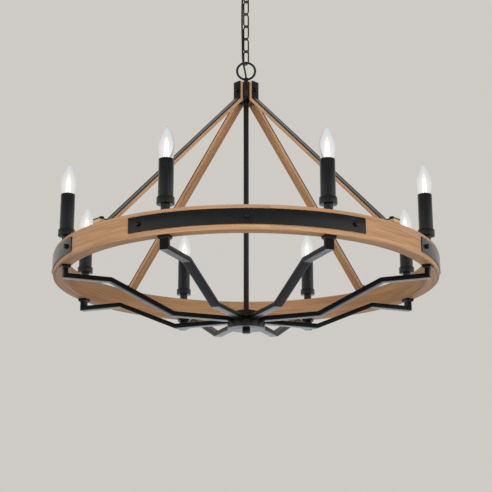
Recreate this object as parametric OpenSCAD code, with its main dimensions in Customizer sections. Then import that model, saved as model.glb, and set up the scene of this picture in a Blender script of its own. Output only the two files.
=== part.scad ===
// Wagon wheel chandelier with eight candle lamps, hung on a chain from a ceiling canopy.
// Millimetres. The origin is the middle of the crossbar's top face, on the ceiling.
// +Z is up, and everything hangs below z = 0. Each piece is one module.

/* [Ceiling mount] */
// Outer diameter of the canopy
canopy_d = 125; // [118:1:160]
// Height of the canopy below the ceiling
canopy_h = 28; // [24:1:40]
// Sheet thickness of the canopy
canopy_wall = 1.2; // [0.8:0.1:2]
// Width of the canopy's sloping shoulder
canopy_shoulder = 12; // [6:1:18]
// Clearance round the loop collar in the canopy's hole, on the radius
canopy_play = 0.8; // [0.5:0.1:2]
// Length of the crossbar
crossbar_len = 108; // [104:1:112]
// Width of the crossbar
crossbar_w = 20; // [16:1:24]
// Thickness of the crossbar
crossbar_t = 2.5; // [2:0.1:4]
// Material left between a screw slot and the crossbar's end
slot_margin = 2.3; // [1.5:0.1:4]
// End-to-end length of a screw slot
slot_len = 24; // [16:1:24]
// Width of a screw slot
slot_w = 4.8; // [4:0.1:6]
// Diameter of the threaded nipples
nipple_d = 10; // [9:0.1:12]
// Bore of the threaded nipples
nipple_bore = 7; // [6:0.1:7.5]
// Diameter of the collar of the canopy loop
collar_d = 25.4; // [24:0.1:30]
// Height of the knurled lock ring
lock_ring_h = 8; // [6:0.5:12]
// Radial thickness of the lock ring
lock_ring_wall = 4.7; // [4:0.1:8]
// Clearance of the lock ring round the collar, on the radius
lock_ring_play = 0.6; // [0.5:0.1:1]

/* [Chain] */
// Outer length of a chain link
link_len = 42; // [38:0.5:50]
// Outer width of a chain link
link_w = 20; // [19:0.5:22]
// Wire diameter of a chain link
link_wire = 3.6; // [3:0.1:4]
// Outer width of the canopy loop
canopy_loop_w = 25; // [24:0.5:26]
// Wire diameter of the canopy loop
canopy_loop_wire = 4; // [3.5:0.1:4.5]
// Straight part of the canopy loop's sides
canopy_loop_side = 8; // [6:0.5:14]

/* [Top hub] */
// Outer diameter of the round loop on the top hub
hub_loop_d = 51; // [48:0.5:60]
// Wire diameter of the round loop
hub_loop_wire = 5.6; // [4.5:0.1:6]
// Diameter of the loop's foot
nub_d = 12; // [11:0.5:16]
// Visible height of the loop's foot
nub_h = 12.9; // [6:0.1:16]
// Width of the square column that carries the arms
column_w = 44; // [40:1:50]
// Height of the square column
column_h = 44; // [36:1:60]
// Wall of the square column
column_wall = 2; // [1.5:0.1:3]
// Outer diameter of the centre stem
stem_d = 13; // [11.5:0.1:14]
// Bore of the centre stem
stem_bore = 9; // [8:0.1:10]

/* [Wood arms] */
// Width of a wood arm
arm_w = 22; // [18:1:26]
// Thickness of a wood arm
arm_t = 8; // [7:0.5:12]
// Thickness of the steel strap on a wood arm
arm_strap_t = 3; // [2:0.5:4]

/* [Wheel] */
// Outer diameter of the wooden wheel rim
wheel_d = 914; // [800:1:1000]
// Radial thickness of the rim
rim_t = 28.5; // [26:0.5:34]
// Height of the rim
rim_h = 53.5; // [48:0.5:70]
// Distance from the column's foot down to the rim's top
wheel_drop = 412.8; // [300:0.1:500]
// Height of a steel strap round the rim
rim_strap_h = 33.8; // [24:0.1:40]
// Thickness of a steel strap round the rim
rim_strap_t = 2.5; // [1.5:0.1:4]
// Distance from the rim's top to the strap's top edge
rim_strap_inset = 8.6; // [6:0.1:14]
// Half of the angle that a rim strap spans
rim_strap_angle = 32.8; // [20:0.1:38]

/* [Candle lamps] */
// Diameter of the neck below a candle cup
neck_d = 20; // [16:0.5:24]
// Height of the neck
neck_h = 14; // [8:0.5:20]
// Outer diameter of a candle cup
cup_d = 38.5; // [37:0.5:42]
// Height of a candle cup
cup_h = 15; // [10:0.5:20]
// Floor thickness of a candle cup
cup_floor = 3; // [2:0.5:4]
// Outer diameter of a candle sleeve
sleeve_d = 32.6; // [31:0.1:34]
// Wall of a candle sleeve
sleeve_wall = 1; // [0.6:0.1:1.2]
// Length of a candle sleeve
sleeve_len = 96.5; // [80:0.5:120]
// Outer diameter of a lamp socket
socket_d = 27; // [24:0.1:27]
// Largest diameter of a bulb
bulb_d = 34.8; // [33:0.1:37]
// Height of a bulb's tip above its sleeve
bulb_rise = 74.5; // [65:0.5:80]
// Diameter of a bulb's screw base
bulb_base_d = 13.8; // [12:0.1:14]

/* [Light arms] */
// Width of the steel tube of a light arm
tube_w = 20; // [18:0.5:22]
// Height of the steel tube
tube_t = 11; // [10:0.5:13]
// Wall of the steel tube
tube_wall = 1.2; // [1:0.1:1.6]
// Distance from the rim's underside down to the outer run's middle line
outer_run_drop = 25; // [20:0.5:40]
// Fall of the slanting run between its two bends
slant_fall = 66; // [30:1:90]
// Distance of the outer bend from the axis
outer_bend_r = 336; // [300:1:360]
// Distance of the inner bend from the axis
inner_bend_r = 184; // [140:1:220]
// Width of the foot plate under the rim
foot_plate_w = 26.5; // [24:0.5:34]
// Depth of the foot plate under the rim
foot_plate_d = 20; // [16:0.5:26]
// Thickness of the foot plate under the rim
foot_plate_t = 8; // [6:0.5:10]

/* [Lower hub] */
// Distance across the flats of the eight-sided hub
hub_flats = 72; // [66:1:80]
// Wall of the eight-sided hub
hub_wall = 4; // [3:0.5:6]
// Diameter of the round hub cover
cover_d = 89; // [84:1:100]
// Height of the hub cover
cover_h = 15.5; // [12:0.5:24]
// Sheet thickness of the hub cover and the cap
cover_wall = 1.5; // [1:0.1:2.5]
// Diameter of the cap above the hub
dome_d = 62; // [54:1:66]
// Height of the cap above the hub
dome_h = 15.5; // [10:0.5:20]
// Diameter of the finial
finial_d = 19; // [16:0.5:24]
// Height of the finial
finial_h = 11; // [10:0.5:20]

/* [Screws and fits] */
// Diameter of the screw heads
screw_head_d = 11; // [8:0.5:13]
// Height of the screw heads
screw_head_h = 6; // [2:0.5:8]
// Diameter of the screw shanks
screw_d = 4; // [3:0.1:4.5]
// Radial clearance of a screw, nipple or tube in its hole
fit = 0.15; // [0.1:0.05:0.3]
// Gap between pieces that move against each other
gap = 0.3; // [0.2:0.05:0.5]
// Diameter of the supply cable
cable_d = 4.5; // [4:0.1:5]
// Diameter of the wires inside the light arms
wire_d = 3.2; // [2.5:0.1:4]

/* [Hidden] */
$fn = 48;
eps = 0.01;
link_count = 6;
arm_count = 4;
lamp_count = 8;

black_metal = [0.07, 0.07, 0.075];
oak = [0.72, 0.52, 0.34];
zinc = [0.6, 0.61, 0.63];
socket_black = [0.1, 0.1, 0.1];
glass = [0.92, 0.94, 0.96, 0.5];

// Ceiling pieces
slot_spacing = crossbar_len - slot_len - 2 * slot_margin;
nipple_end_z = -canopy_h;
collar_top_z = -canopy_h + 12;
collar_bottom_z = -canopy_h - gap - lock_ring_h - 2;
canopy_hole_d = collar_d + 2 * canopy_play;
lock_ring_d = collar_d + 2 * lock_ring_play + 2 * lock_ring_wall;
canopy_loop_r = (canopy_loop_w - canopy_loop_wire) / 2;
canopy_loop_mid_z = collar_bottom_z + 1 - canopy_loop_r - canopy_loop_side / 2;
canopy_loop_low_z = canopy_loop_mid_z - canopy_loop_side / 2 - canopy_loop_r;

// Heights of the chain, from wire middle to wire middle
link_r = (link_w - link_wire) / 2;
link_side = link_len - link_wire - 2 * link_r;
link_reach = link_side + 2 * link_r;
link_step = link_reach - link_wire - gap;
first_link_top_z = canopy_loop_low_z + (canopy_loop_wire + link_wire) / 2 + gap;
link_turn = 45;
function link_top_z(n) = first_link_top_z - (n - 1) * link_step;
function link_angle(n) = n % 2 == 1 ? link_turn : -link_turn;
chain_low_z = link_top_z(link_count) - link_reach;

// Heights of the top hub
hub_loop_r = (hub_loop_d - hub_loop_wire) / 2;
// The last link crosses the loop at 45 degrees, so their wires need more room
hub_loop_gap = gap + 0.9;
hub_loop_z = chain_low_z + (link_wire + hub_loop_wire) / 2 + hub_loop_gap - hub_loop_r;
column_top_z = hub_loop_z - hub_loop_d / 2 - nub_h;
column_foot_z = column_top_z - column_h;
nut_h = 6;
loop_shank_len = column_wall + nut_h + 4;
loop_bore = cable_d + 2;
stem_top_z = column_foot_z + column_wall + nut_h + 2;
stem_collar_h = 14;

// Rim and wheel
rim_top_z = column_foot_z - wheel_drop;
rim_low_z = rim_top_z - rim_h;
rim_outer_r = wheel_d / 2;
rim_inner_r = rim_outer_r - rim_t;
rim_mid_r = rim_outer_r - rim_t / 2;
rim_strap_mid_z = rim_top_z - rim_strap_inset - rim_strap_h / 2;
strap_screw_inset = 25.5;
strap_screw_angle = rim_strap_angle - strap_screw_inset / rim_outer_r * 180 / PI;
rim_screw_len = 18;
rim_joint_shift = 6;

// Wood arms: the outer face of the steel strap, as distance from the axis and height
arm_outer_r = column_w / 2 + arm_t + arm_strap_t;
arm_face = [
  [arm_outer_r, column_top_z],
  [arm_outer_r, column_foot_z],
  [rim_inner_r, rim_top_z + arm_t + arm_strap_t],
  [rim_outer_r, rim_top_z + arm_t + arm_strap_t]
];
arm_screw_z = column_foot_z + column_h / 2;
arm_screw_len = arm_strap_t + arm_t + column_wall + 5;
foot_screw_len = arm_strap_t + arm_t + rim_screw_len;

// Light arms: the middle line of the tube, as distance from the axis and height
hub_r = hub_flats / 2;
outer_run_z = rim_low_z - outer_run_drop;
inner_run_z = outer_run_z - slant_fall;
foot_plate_z = rim_low_z - foot_plate_t;
light_arm_line = [
  [hub_r, inner_run_z],
  [inner_bend_r, inner_run_z],
  [outer_bend_r, outer_run_z],
  [rim_mid_r, outer_run_z],
  [rim_mid_r, foot_plate_z]
];

// Candle lamps
cup_z = rim_top_z + neck_h;
cup_seat_z = cup_z + cup_floor;
sleeve_top_z = cup_seat_z + sleeve_len;
bulb_tip_z = sleeve_top_z + bulb_rise;
glass_hidden = 9.5;
glass_low_z = sleeve_top_z - glass_hidden;
glass_wide_z = sleeve_top_z + 0.36 * bulb_rise;
glass_neck_d = 23;
glass_wall = 0.8;
bulb_seat_h = 3;
socket_top_z = glass_low_z - bulb_seat_h - gap;
bulb_base_len = 20;
lamp_nipple_top_z = cup_seat_z + 12;
lamp_nipple_low_z = foot_plate_z + 1;

// Lower hub
hub_top_z = inner_run_z + tube_t / 2;
hub_low_z = inner_run_z - tube_t / 2;
hub_top_wall = 2;
cover_low_z = hub_low_z - cover_h;
stem_low_z = cover_low_z - finial_h + 4;
finial_low_z = cover_low_z - finial_h;

// Route of the supply cable, from the crossbar's nipple to the foot of the round loop
supply_route = [
  [0, 0, -3], [0, 0, -22], [0, 0, -37], [-0.6, 0, -43], [-2.4, 0, -49], [-4.8, 0, -55],
  [-7, 0, -61], [-8.4, 0, -68], [-9, 0, -76], [-9.4, 0.2, -96], [-10, 0.5, -120],
  [-10.2, 0.6, -145], [-10, 0.4, -170], [-9.6, 0.2, -195], [-9.3, -0.2, -220], [-9, -1.2, -236],
  [-8.8, -2.7, -247], [-8.4, -4.3, -257], [-7.5, -5.6, -267], [-6, -5.8, -277],
  [-3.9, -4.6, -287], [-1.8, -2.5, -297], [-0.4, -0.6, -305], [0, 0, -311], [0, 0, -322]
];
supply_end_z = -322;

function unit(v) = v / norm(v);
function right_of(v) = [v.y, -v.x];
function side_at(path, i) =
  let (
    last = len(path) - 1,
    before = right_of(unit(path[max(i, 1)] - path[max(i, 1) - 1])),
    after = right_of(unit(path[min(i, last - 1) + 1] - path[min(i, last - 1)]))
  ) (before + after) / (1 + before * after);
// The path moved sideways by a distance, with mitred bends
function moved(path, distance) = [for (i = [0:len(path) - 1]) path[i] + distance * side_at(path, i)];
function reversed(list) = [for (i = [len(list) - 1:-1:0]) list[i]];
function band(path, from, to) = concat(moved(path, from), reversed(moved(path, to)));

// A flat bar or tube that follows a path of distances and heights, centred on its width
module bent_bar(path, from, to, width) {
  rotate([90, 0, 0])
    linear_extrude(width, center = true)
      polygon(band(path, from, to));
}

// A round cord along a list of points, drawn with flat sides
function along(path, i) =
  let (last = len(path) - 1) unit(path[min(i + 1, last)] - path[max(i - 1, 0)]);
function ring_at(path, i, radius, sides) =
  let (
    t = along(path, i),
    u = unit(cross(t, [0, 1, 0])),
    v = cross(t, u)
  ) [for (k = [0:sides - 1])
      path[i] + radius * (cos(360 * k / sides) * u + sin(360 * k / sides) * v)];
module cord(path, diameter, sides) {
  rings = len(path);
  points = [for (i = [0:rings - 1]) each ring_at(path, i, diameter / 2, sides)];
  walls = [
    for (i = [0:rings - 2], k = [0:sides - 1], half = [0, 1])
      let (a = i * sides + k, b = i * sides + (k + 1) % sides)
        half == 0 ? [a, b + sides, b] : [a, a + sides, b + sides]
  ];
  start = [[for (k = [0:sides - 1]) k]];
  end = [[for (k = [sides - 1:-1:0]) (rings - 1) * sides + k]];
  polyhedron(points, concat(walls, start, end));
}

// An oval wire ring that stands in the XZ plane, round when side is 0
module wire_ring(wire, radius, side) {
  if (side > 0)
    for (x = [-radius, radius])
      translate([x, 0, 0])
        cylinder(d = wire, h = side, center = true);
  for (turn = [0, 180])
    rotate([0, turn, 0])
      translate([0, 0, side / 2])
        rotate([90, 0, 0])
          rotate_extrude(angle = 180)
            translate([radius, 0])
              circle(d = wire);
}

// A washerless screw: head on z = 0, shank down
module screw(length, diameter) {
  edge = 0.7;
  cylinder(d = screw_head_d, h = screw_head_h - edge);
  translate([0, 0, screw_head_h - edge])
    cylinder(d1 = screw_head_d, d2 = screw_head_d - 2 * edge, h = edge);
  translate([0, 0, -length])
    cylinder(d = diameter, h = length + eps);
}

module hex_nut(bore_d, height) {
  difference() {
    cylinder(d = bore_d * 1.75, h = height, $fn = 6);
    translate([0, 0, -1])
      cylinder(d = bore_d + 2 * fit, h = height + 2);
  }
}

// Places children at each lamp, on the middle of the rim
module at_lamps() {
  for (n = [1:lamp_count])
    at_lamp(n)
      children();
}
module at_lamp(n) {
  rotate([0, 0, lamp_angle(n)])
    translate([rim_mid_r, 0, 0])
      children();
}
function lamp_angle(n) = (n - 0.5) * 360 / lamp_count;
function arm_angle(n) = (n - 0.5) * 360 / arm_count;
function rim_joint_angle(n) = (n - 1) * 360 / arm_count;

module at_arms() {
  for (n = [1:arm_count])
    rotate([0, 0, arm_angle(n)])
      children();
}

// ---- Ceiling mount ----

module crossbar() {
  color(zinc)
    difference() {
      translate([-crossbar_len / 2, -crossbar_w / 2, -crossbar_t])
        cube([crossbar_len, crossbar_w, crossbar_t]);
      for (side = [-1, 1])
        translate([side * slot_spacing / 2, 0, -crossbar_t - 1])
          slot(slot_len, slot_w, crossbar_t + 2);
      translate([0, 0, -crossbar_t - 1])
        cylinder(d = nipple_d + 2 * fit, h = crossbar_t + 2);
    }
}

module slot(length, width, height) {
  straight = length - width;
  translate([-straight / 2, -width / 2, 0])
    cube([straight, width, height]);
  for (side = [-1, 1])
    translate([side * straight / 2, 0, 0])
      cylinder(d = width, h = height);
}

// The threaded nipple with its lock nut under the crossbar
module crossbar_nipple() {
  color(zinc) {
    difference() {
      translate([0, 0, nipple_end_z])
        cylinder(d = nipple_d, h = -nipple_end_z);
      translate([0, 0, nipple_end_z - 1])
        cylinder(d = nipple_bore, h = -nipple_end_z + 2);
    }
    translate([0, 0, -crossbar_t - nut_h])
      hex_nut(nipple_d, nut_h);
  }
}

module canopy() {
  outer_r = canopy_d / 2;
  inner_r = outer_r - canopy_wall;
  flat_r = outer_r - canopy_shoulder;
  hole_r = canopy_hole_d / 2;
  shoulder_z = -canopy_h * 0.55;
  color(black_metal)
    rotate_extrude()
      polygon([
        [inner_r, 0], [outer_r, 0], [outer_r, shoulder_z], [flat_r, -canopy_h],
        [hole_r, -canopy_h], [hole_r, -canopy_h + canopy_wall],
        [flat_r - canopy_wall * 0.4, -canopy_h + canopy_wall],
        [inner_r, shoulder_z + canopy_wall * 0.4]
      ]);
}

// The wire loop with its threaded collar, which the cable runs through
module canopy_loop() {
  color(black_metal)
    difference() {
      union() {
        translate([0, 0, collar_bottom_z])
          cylinder(d = collar_d, h = collar_top_z - collar_bottom_z);
        rotate([0, 0, link_angle(0)])
          translate([0, 0, canopy_loop_mid_z])
            wire_ring(canopy_loop_wire, canopy_loop_r, canopy_loop_side);
      }
      translate([0, 0, nipple_end_z - fit])
        cylinder(d = nipple_d + 2 * fit, h = collar_top_z - nipple_end_z + 1);
      translate([0, 0, collar_bottom_z - canopy_loop_wire])
        cylinder(d = nipple_bore, h = collar_top_z - collar_bottom_z);
    }
}

module canopy_lock_ring() {
  grooves = 24;
  top_z = -canopy_h - gap;
  color(black_metal)
    translate([0, 0, top_z - lock_ring_h])
      difference() {
        cylinder(d = lock_ring_d, h = lock_ring_h);
        translate([0, 0, -1])
          cylinder(d = collar_d + 2 * lock_ring_play, h = lock_ring_h + 2);
        for (k = [0:grooves - 1])
          rotate([0, 0, k * 360 / grooves])
            translate([lock_ring_d / 2 + 0.4, 0, -1])
              cylinder(d = 2, h = lock_ring_h + 2);
      }
}

// ---- Chain and cable ----

module chain_link(n) {
  color(black_metal)
    translate([0, 0, link_top_z(n) - link_reach / 2])
      rotate([0, 0, link_angle(n)])
        wire_ring(link_wire, link_r, link_side);
}

module supply_cable() {
  color(socket_black)
    cord(supply_route, cable_d, 8);
}

// ---- Top hub ----

module hub_loop() {
  shank_low_z = column_top_z - loop_shank_len;
  nub_top_z = hub_loop_z - hub_loop_d / 2 + hub_loop_wire + 1;
  color(black_metal)
    difference() {
      union() {
        translate([0, 0, hub_loop_z])
          wire_ring(hub_loop_wire, hub_loop_r, 0);
        translate([0, 0, column_top_z])
          cylinder(d = nub_d, h = nub_top_z - column_top_z);
        translate([0, 0, shank_low_z])
          cylinder(d = nipple_d, h = loop_shank_len + eps);
      }
      translate([0, 0, shank_low_z - 1])
        cylinder(d = loop_bore, h = nub_top_z - shank_low_z + 2);
    }
}

module hub_column() {
  inner_w = column_w - 2 * column_wall;
  color(black_metal)
    rotate([0, 0, arm_angle(1)])
      difference() {
        translate([-column_w / 2, -column_w / 2, column_foot_z])
          cube([column_w, column_w, column_h]);
        translate([-inner_w / 2, -inner_w / 2, column_foot_z + column_wall])
          cube([inner_w, inner_w, column_h - 2 * column_wall]);
        translate([0, 0, column_top_z - column_wall - 1])
          cylinder(d = nipple_d + 2 * fit, h = column_wall + 2);
        translate([0, 0, column_foot_z - 1])
          cylinder(d = stem_d + 2 * fit, h = column_wall + 2);
        for (turn = [0, 90])
          rotate([0, 0, turn])
            translate([0, 0, arm_screw_z])
              rotate([0, 90, 0])
                cylinder(d = screw_d + 2 * fit, h = column_w + 2, center = true);
      }
}

// Nuts: under the column's top, above and below its floor, and under the lower hub's top
module hex_nuts() {
  color(black_metal) {
    translate([0, 0, column_top_z - column_wall - nut_h])
      hex_nut(nipple_d, nut_h);
    translate([0, 0, column_foot_z + column_wall])
      hex_nut(stem_d, nut_h);
    translate([0, 0, column_foot_z - stem_collar_h])
      difference() {
        cylinder(d = stem_d + 3, h = stem_collar_h);
        translate([0, 0, -1])
          cylinder(d = stem_d + 2 * fit, h = stem_collar_h + 2);
      }
    translate([0, 0, hub_top_z - hub_top_wall - nut_h])
      hex_nut(stem_d, nut_h);
  }
}
module stem() {
  length = stem_top_z - stem_low_z;
  color(black_metal)
    translate([0, 0, stem_low_z])
      difference() {
        cylinder(d = stem_d, h = length);
        translate([0, 0, -1])
          cylinder(d = stem_bore, h = length + 2);
        translate([0, 0, hub_low_z - stem_low_z + 1])
          for (turn = [0, 90])
            rotate([0, 0, turn])
              rotate([0, 90, 0])
                cylinder(d = wire_d + 1, h = stem_d + 2, center = true);
      }
}

// ---- Wood arms and their straps ----

module arm_drills() {
  translate([0, 0, arm_screw_z])
    rotate([0, 90, 0])
      cylinder(d = screw_d + 2 * fit, h = 2 * arm_outer_r, center = false);
  translate([rim_mid_r, 0, rim_top_z - 1])
    cylinder(d = screw_d + 2 * fit, h = arm_t + arm_strap_t + 2);
}

module wood_arm(n) {
  color(oak)
    rotate([0, 0, arm_angle(n)])
      difference() {
        bent_bar(arm_face, arm_strap_t, arm_strap_t + arm_t, arm_w);
        arm_drills();
      }
}

module arm_strap(n) {
  color(black_metal)
    rotate([0, 0, arm_angle(n)])
      difference() {
        bent_bar(arm_face, 0, arm_strap_t, arm_w);
        arm_drills();
      }
}

module arm_screws() {
  color(black_metal)
    at_arms()
      translate([arm_outer_r, 0, arm_screw_z])
        rotate([0, 90, 0])
          screw(arm_screw_len, screw_d);
}

module foot_screws() {
  color(black_metal)
    at_arms()
      translate([rim_mid_r, 0, rim_top_z + arm_t + arm_strap_t])
        screw(foot_screw_len, screw_d);
}

// ---- Rim ----

module rim_segment(n) {
  quarter = 360 / arm_count;
  color(oak)
    rotate([0, 0, rim_joint_angle(n)])
      difference() {
        rotate([0, 0, rim_joint_shift])
          rotate_extrude(angle = quarter, $fn = 180)
            translate([rim_inner_r, rim_low_z])
              square([rim_t, rim_h]);
        for (k = [1:lamp_count / arm_count])
          rotate([0, 0, lamp_angle(k)])
            translate([rim_mid_r, 0, rim_low_z - 1])
              cylinder(d = nipple_d + 2 * fit, h = rim_h + 2);
        rotate([0, 0, quarter / 2])
          translate([rim_mid_r, 0, rim_top_z - rim_screw_len - fit])
            cylinder(d = screw_d + 2 * fit, h = rim_screw_len + 1);
        for (turn = [strap_screw_angle, quarter - strap_screw_angle, quarter])
          rotate([0, 0, turn])
            translate([rim_outer_r - rim_screw_len - fit, 0, rim_strap_mid_z])
              rotate([0, 90, 0])
                cylinder(d = screw_d + 2 * fit, h = rim_screw_len + 2);
      }
}

module rim_strap(n) {
  color(black_metal)
    rotate([0, 0, rim_joint_angle(n)])
      difference() {
        rotate([0, 0, -rim_strap_angle])
          rotate_extrude(angle = 2 * rim_strap_angle, $fn = 180)
            translate([rim_outer_r + fit, rim_strap_mid_z - rim_strap_h / 2])
              square([rim_strap_t, rim_strap_h]);
        for (side = [-1, 0, 1])
          rotate([0, 0, side * strap_screw_angle])
            translate([rim_inner_r, 0, rim_strap_mid_z])
              rotate([0, 90, 0])
                cylinder(d = screw_d + 2 * fit, h = 2 * rim_t);
      }
}

module strap_screws() {
  color(black_metal)
    for (n = [1:arm_count], side = [-1, 0, 1])
      rotate([0, 0, rim_joint_angle(n) + side * strap_screw_angle])
        translate([rim_outer_r + rim_strap_t + 2 * fit, 0, rim_strap_mid_z])
          rotate([0, 90, 0])
            screw(rim_screw_len, screw_d);
}

// ---- Lower hub and light arms ----

module lower_hub() {
  height = hub_top_z - hub_low_z;
  flats_to_corners = 1 / cos(180 / lamp_count);
  color(black_metal)
    difference() {
      translate([0, 0, hub_low_z])
        cylinder(r = hub_r * flats_to_corners, h = height, $fn = lamp_count);
      translate([0, 0, hub_low_z - 1])
        cylinder(
          r = (hub_r - hub_wall) * flats_to_corners,
          h = height - hub_top_wall + 1,
          $fn = lamp_count
        );
      translate([0, 0, hub_low_z - 1])
        cylinder(d = stem_d + 2 * fit, h = height + 2);
      for (n = [1:lamp_count])
        rotate([0, 0, lamp_angle(n)])
          translate([hub_r - 2 * hub_wall, 0, inner_run_z])
            rotate([0, 90, 0])
              cylinder(d = wire_d + 2, h = 3 * hub_wall);
    }
}

// A cap with a flat top and a rounded top edge
module hub_dome() {
  outer_r = dome_d / 2;
  hole_r = stem_d / 2 + fit;
  edge_r = 3.5;
  inner_edge_r = edge_r - cover_wall;
  arc = [for (a = [0:18:90]) [cos(a), sin(a)]];
  edge_mid = [outer_r - edge_r, dome_h - edge_r];
  color(black_metal)
    translate([0, 0, hub_top_z])
      rotate_extrude()
        polygon(concat(
          [[outer_r, 0]],
          [for (v = arc) edge_mid + edge_r * v],
          [[hole_r, dome_h], [hole_r, dome_h - cover_wall]],
          [for (v = reversed(arc)) edge_mid + inner_edge_r * v],
          [[outer_r - cover_wall, 0]]
        ));
}

module hub_cover() {
  edge = 2;
  color(black_metal)
    translate([0, 0, cover_low_z])
      difference() {
        rotate_extrude()
          polygon([
            [0, 0], [cover_d / 2 - edge, 0], [cover_d / 2, edge],
            [cover_d / 2, cover_h], [0, cover_h]
          ]);
        translate([0, 0, cover_wall])
          cylinder(d = cover_d - 2 * cover_wall - edge, h = cover_h);
        translate([0, 0, -1])
          cylinder(d = stem_d + 2 * fit, h = cover_h);
      }
}

module finial() {
  edge = 1;
  color(black_metal)
    translate([0, 0, finial_low_z])
      difference() {
        rotate_extrude()
          polygon([
            [0, 0], [finial_d / 2 - edge, 0], [finial_d / 2, edge],
            [finial_d / 2, finial_h], [0, finial_h]
          ]);
        translate([0, 0, stem_low_z - finial_low_z - fit])
          cylinder(d = stem_d + 2 * fit, h = finial_h);
      }
}

// The plate under the rim, with its lower edges bevelled
module foot_plate() {
  rotate([90, 0, 0])
    intersection() {
      linear_extrude(foot_plate_w, center = true)
        polygon(plate_side(foot_plate_d));
      rotate([0, 90, 0])
        linear_extrude(foot_plate_d, center = true)
          polygon(plate_side(foot_plate_w));
    }
}
function plate_side(width) =
  let (half = width / 2, bevel = 2.5) [
    [bevel - half, 0], [half - bevel, 0], [half, bevel + 0.5],
    [half, foot_plate_t], [-half, foot_plate_t], [-half, bevel + 0.5]
  ];

module light_arm(n) {
  half = tube_t / 2;
  inner = half - tube_wall;
  first = light_arm_line[0] - [1, 0];
  rest = [for (i = [1:len(light_arm_line) - 1]) light_arm_line[i]];
  color(black_metal)
    rotate([0, 0, lamp_angle(n)])
      difference() {
        union() {
          bent_bar(light_arm_line, -half, half, tube_w);
          translate([rim_mid_r, 0, foot_plate_z])
            foot_plate();
        }
        bent_bar(concat([first], rest), -inner, inner, tube_w - 2 * tube_wall);
        translate([rim_mid_r, 0, foot_plate_z - 1])
          cylinder(d = nipple_d + 2 * fit, h = foot_plate_t + 2);
      }
}

// ---- Candle lamps ----

module lamp_nipples() {
  color(zinc)
    at_lamps()
      translate([0, 0, lamp_nipple_low_z])
        difference() {
          cylinder(d = nipple_d, h = lamp_nipple_top_z - lamp_nipple_low_z);
          translate([0, 0, -1])
            cylinder(d = nipple_bore, h = lamp_nipple_top_z - lamp_nipple_low_z + 2);
        }
}

module candle_cups() {
  color(black_metal)
    at_lamps()
      difference() {
        union() {
          translate([0, 0, rim_top_z])
            cylinder(d = neck_d, h = neck_h + eps);
          translate([0, 0, cup_z])
            cylinder(d = cup_d, h = cup_h);
        }
        translate([0, 0, cup_seat_z])
          cylinder(d = sleeve_d + 2 * fit, h = cup_h);
        translate([0, 0, rim_top_z - 1])
          cylinder(d = nipple_d + 2 * fit, h = neck_h + cup_h);
      }
}

module candle_sleeves() {
  color(black_metal)
    at_lamps()
      translate([0, 0, cup_seat_z])
        difference() {
          cylinder(d = sleeve_d, h = sleeve_len);
          translate([0, 0, -1])
            cylinder(d = sleeve_d - 2 * sleeve_wall, h = sleeve_len + 2);
        }
}

module lamp_sockets() {
  base_hole_low_z = socket_top_z - bulb_base_len - 3 * gap;
  color(socket_black)
    at_lamps()
      difference() {
        translate([0, 0, cup_seat_z])
          cylinder(d = socket_d, h = socket_top_z - cup_seat_z);
        translate([0, 0, cup_seat_z - 1])
          cylinder(d = nipple_d + 2 * fit, h = lamp_nipple_top_z - cup_seat_z + 1 + fit);
        translate([0, 0, base_hole_low_z])
          cylinder(d = bulb_base_d + 2 * gap, h = bulb_base_len + 10);
      }
}

// Half outline of a bulb's glass: widening to its belly, then drawn in to a point
function glass_line(belly_r, neck_r, low_z, tip_z) = concat(
  [for (a = [0:15:75])
    [neck_r + (belly_r - neck_r) * sin(a), low_z + (glass_wide_z - low_z) * a / 90]],
  [for (a = [0:9:81])
    [belly_r * pow(cos(a), 1.7), glass_wide_z + (tip_z - glass_wide_z) * sin(a)]],
  [[0, tip_z]]
);

module bulb(n) {
  filaments = 4;
  filament_len = 32;
  post_h = 16;
  seat_z = glass_low_z - bulb_seat_h;
  outer = glass_line(bulb_d / 2, glass_neck_d / 2, glass_low_z, bulb_tip_z);
  inner = glass_line(
    bulb_d / 2 - glass_wall, glass_neck_d / 2 - glass_wall, glass_low_z, bulb_tip_z - 2 * glass_wall
  );
  color(glass)
    at_lamp(n) {
      rotate_extrude()
        polygon(concat(outer, reversed(inner)));
      translate([0, 0, seat_z])
        cylinder(d = glass_neck_d, h = bulb_seat_h - fit);
      translate([0, 0, seat_z - bulb_base_len])
        cylinder(d = bulb_base_d, h = bulb_base_len + eps);
      translate([0, 0, glass_low_z - fit - eps])
        cylinder(d = 6, h = post_h + fit);
      translate([0, 0, glass_low_z + post_h - 2])
        cylinder(d = 13, h = 1);
      for (k = [0:filaments - 1])
        rotate([0, 0, (k + 0.5) * 360 / filaments])
          translate([5, 0, glass_low_z + post_h - 1 - eps])
            cylinder(d = 1.8, h = filament_len);
    }
}

// The supply cable's run inside the stem, and one wire from the hub to each socket
module lamp_wires() {
  color(socket_black) {
    translate([0, 0, hub_low_z - 2])
      cylinder(d = cable_d, h = supply_end_z - hub_low_z + 2);
    for (n = [1:lamp_count])
      rotate([0, 0, lamp_angle(n)])
        cord(
          [
            [hub_r - hub_wall - 6, 0, inner_run_z],
            [inner_bend_r, 0, inner_run_z],
            [outer_bend_r, 0, outer_run_z],
            [rim_mid_r, 0, outer_run_z],
            [rim_mid_r, 0, lamp_nipple_top_z]
          ],
          wire_d, 8
        );
  }
}

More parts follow.
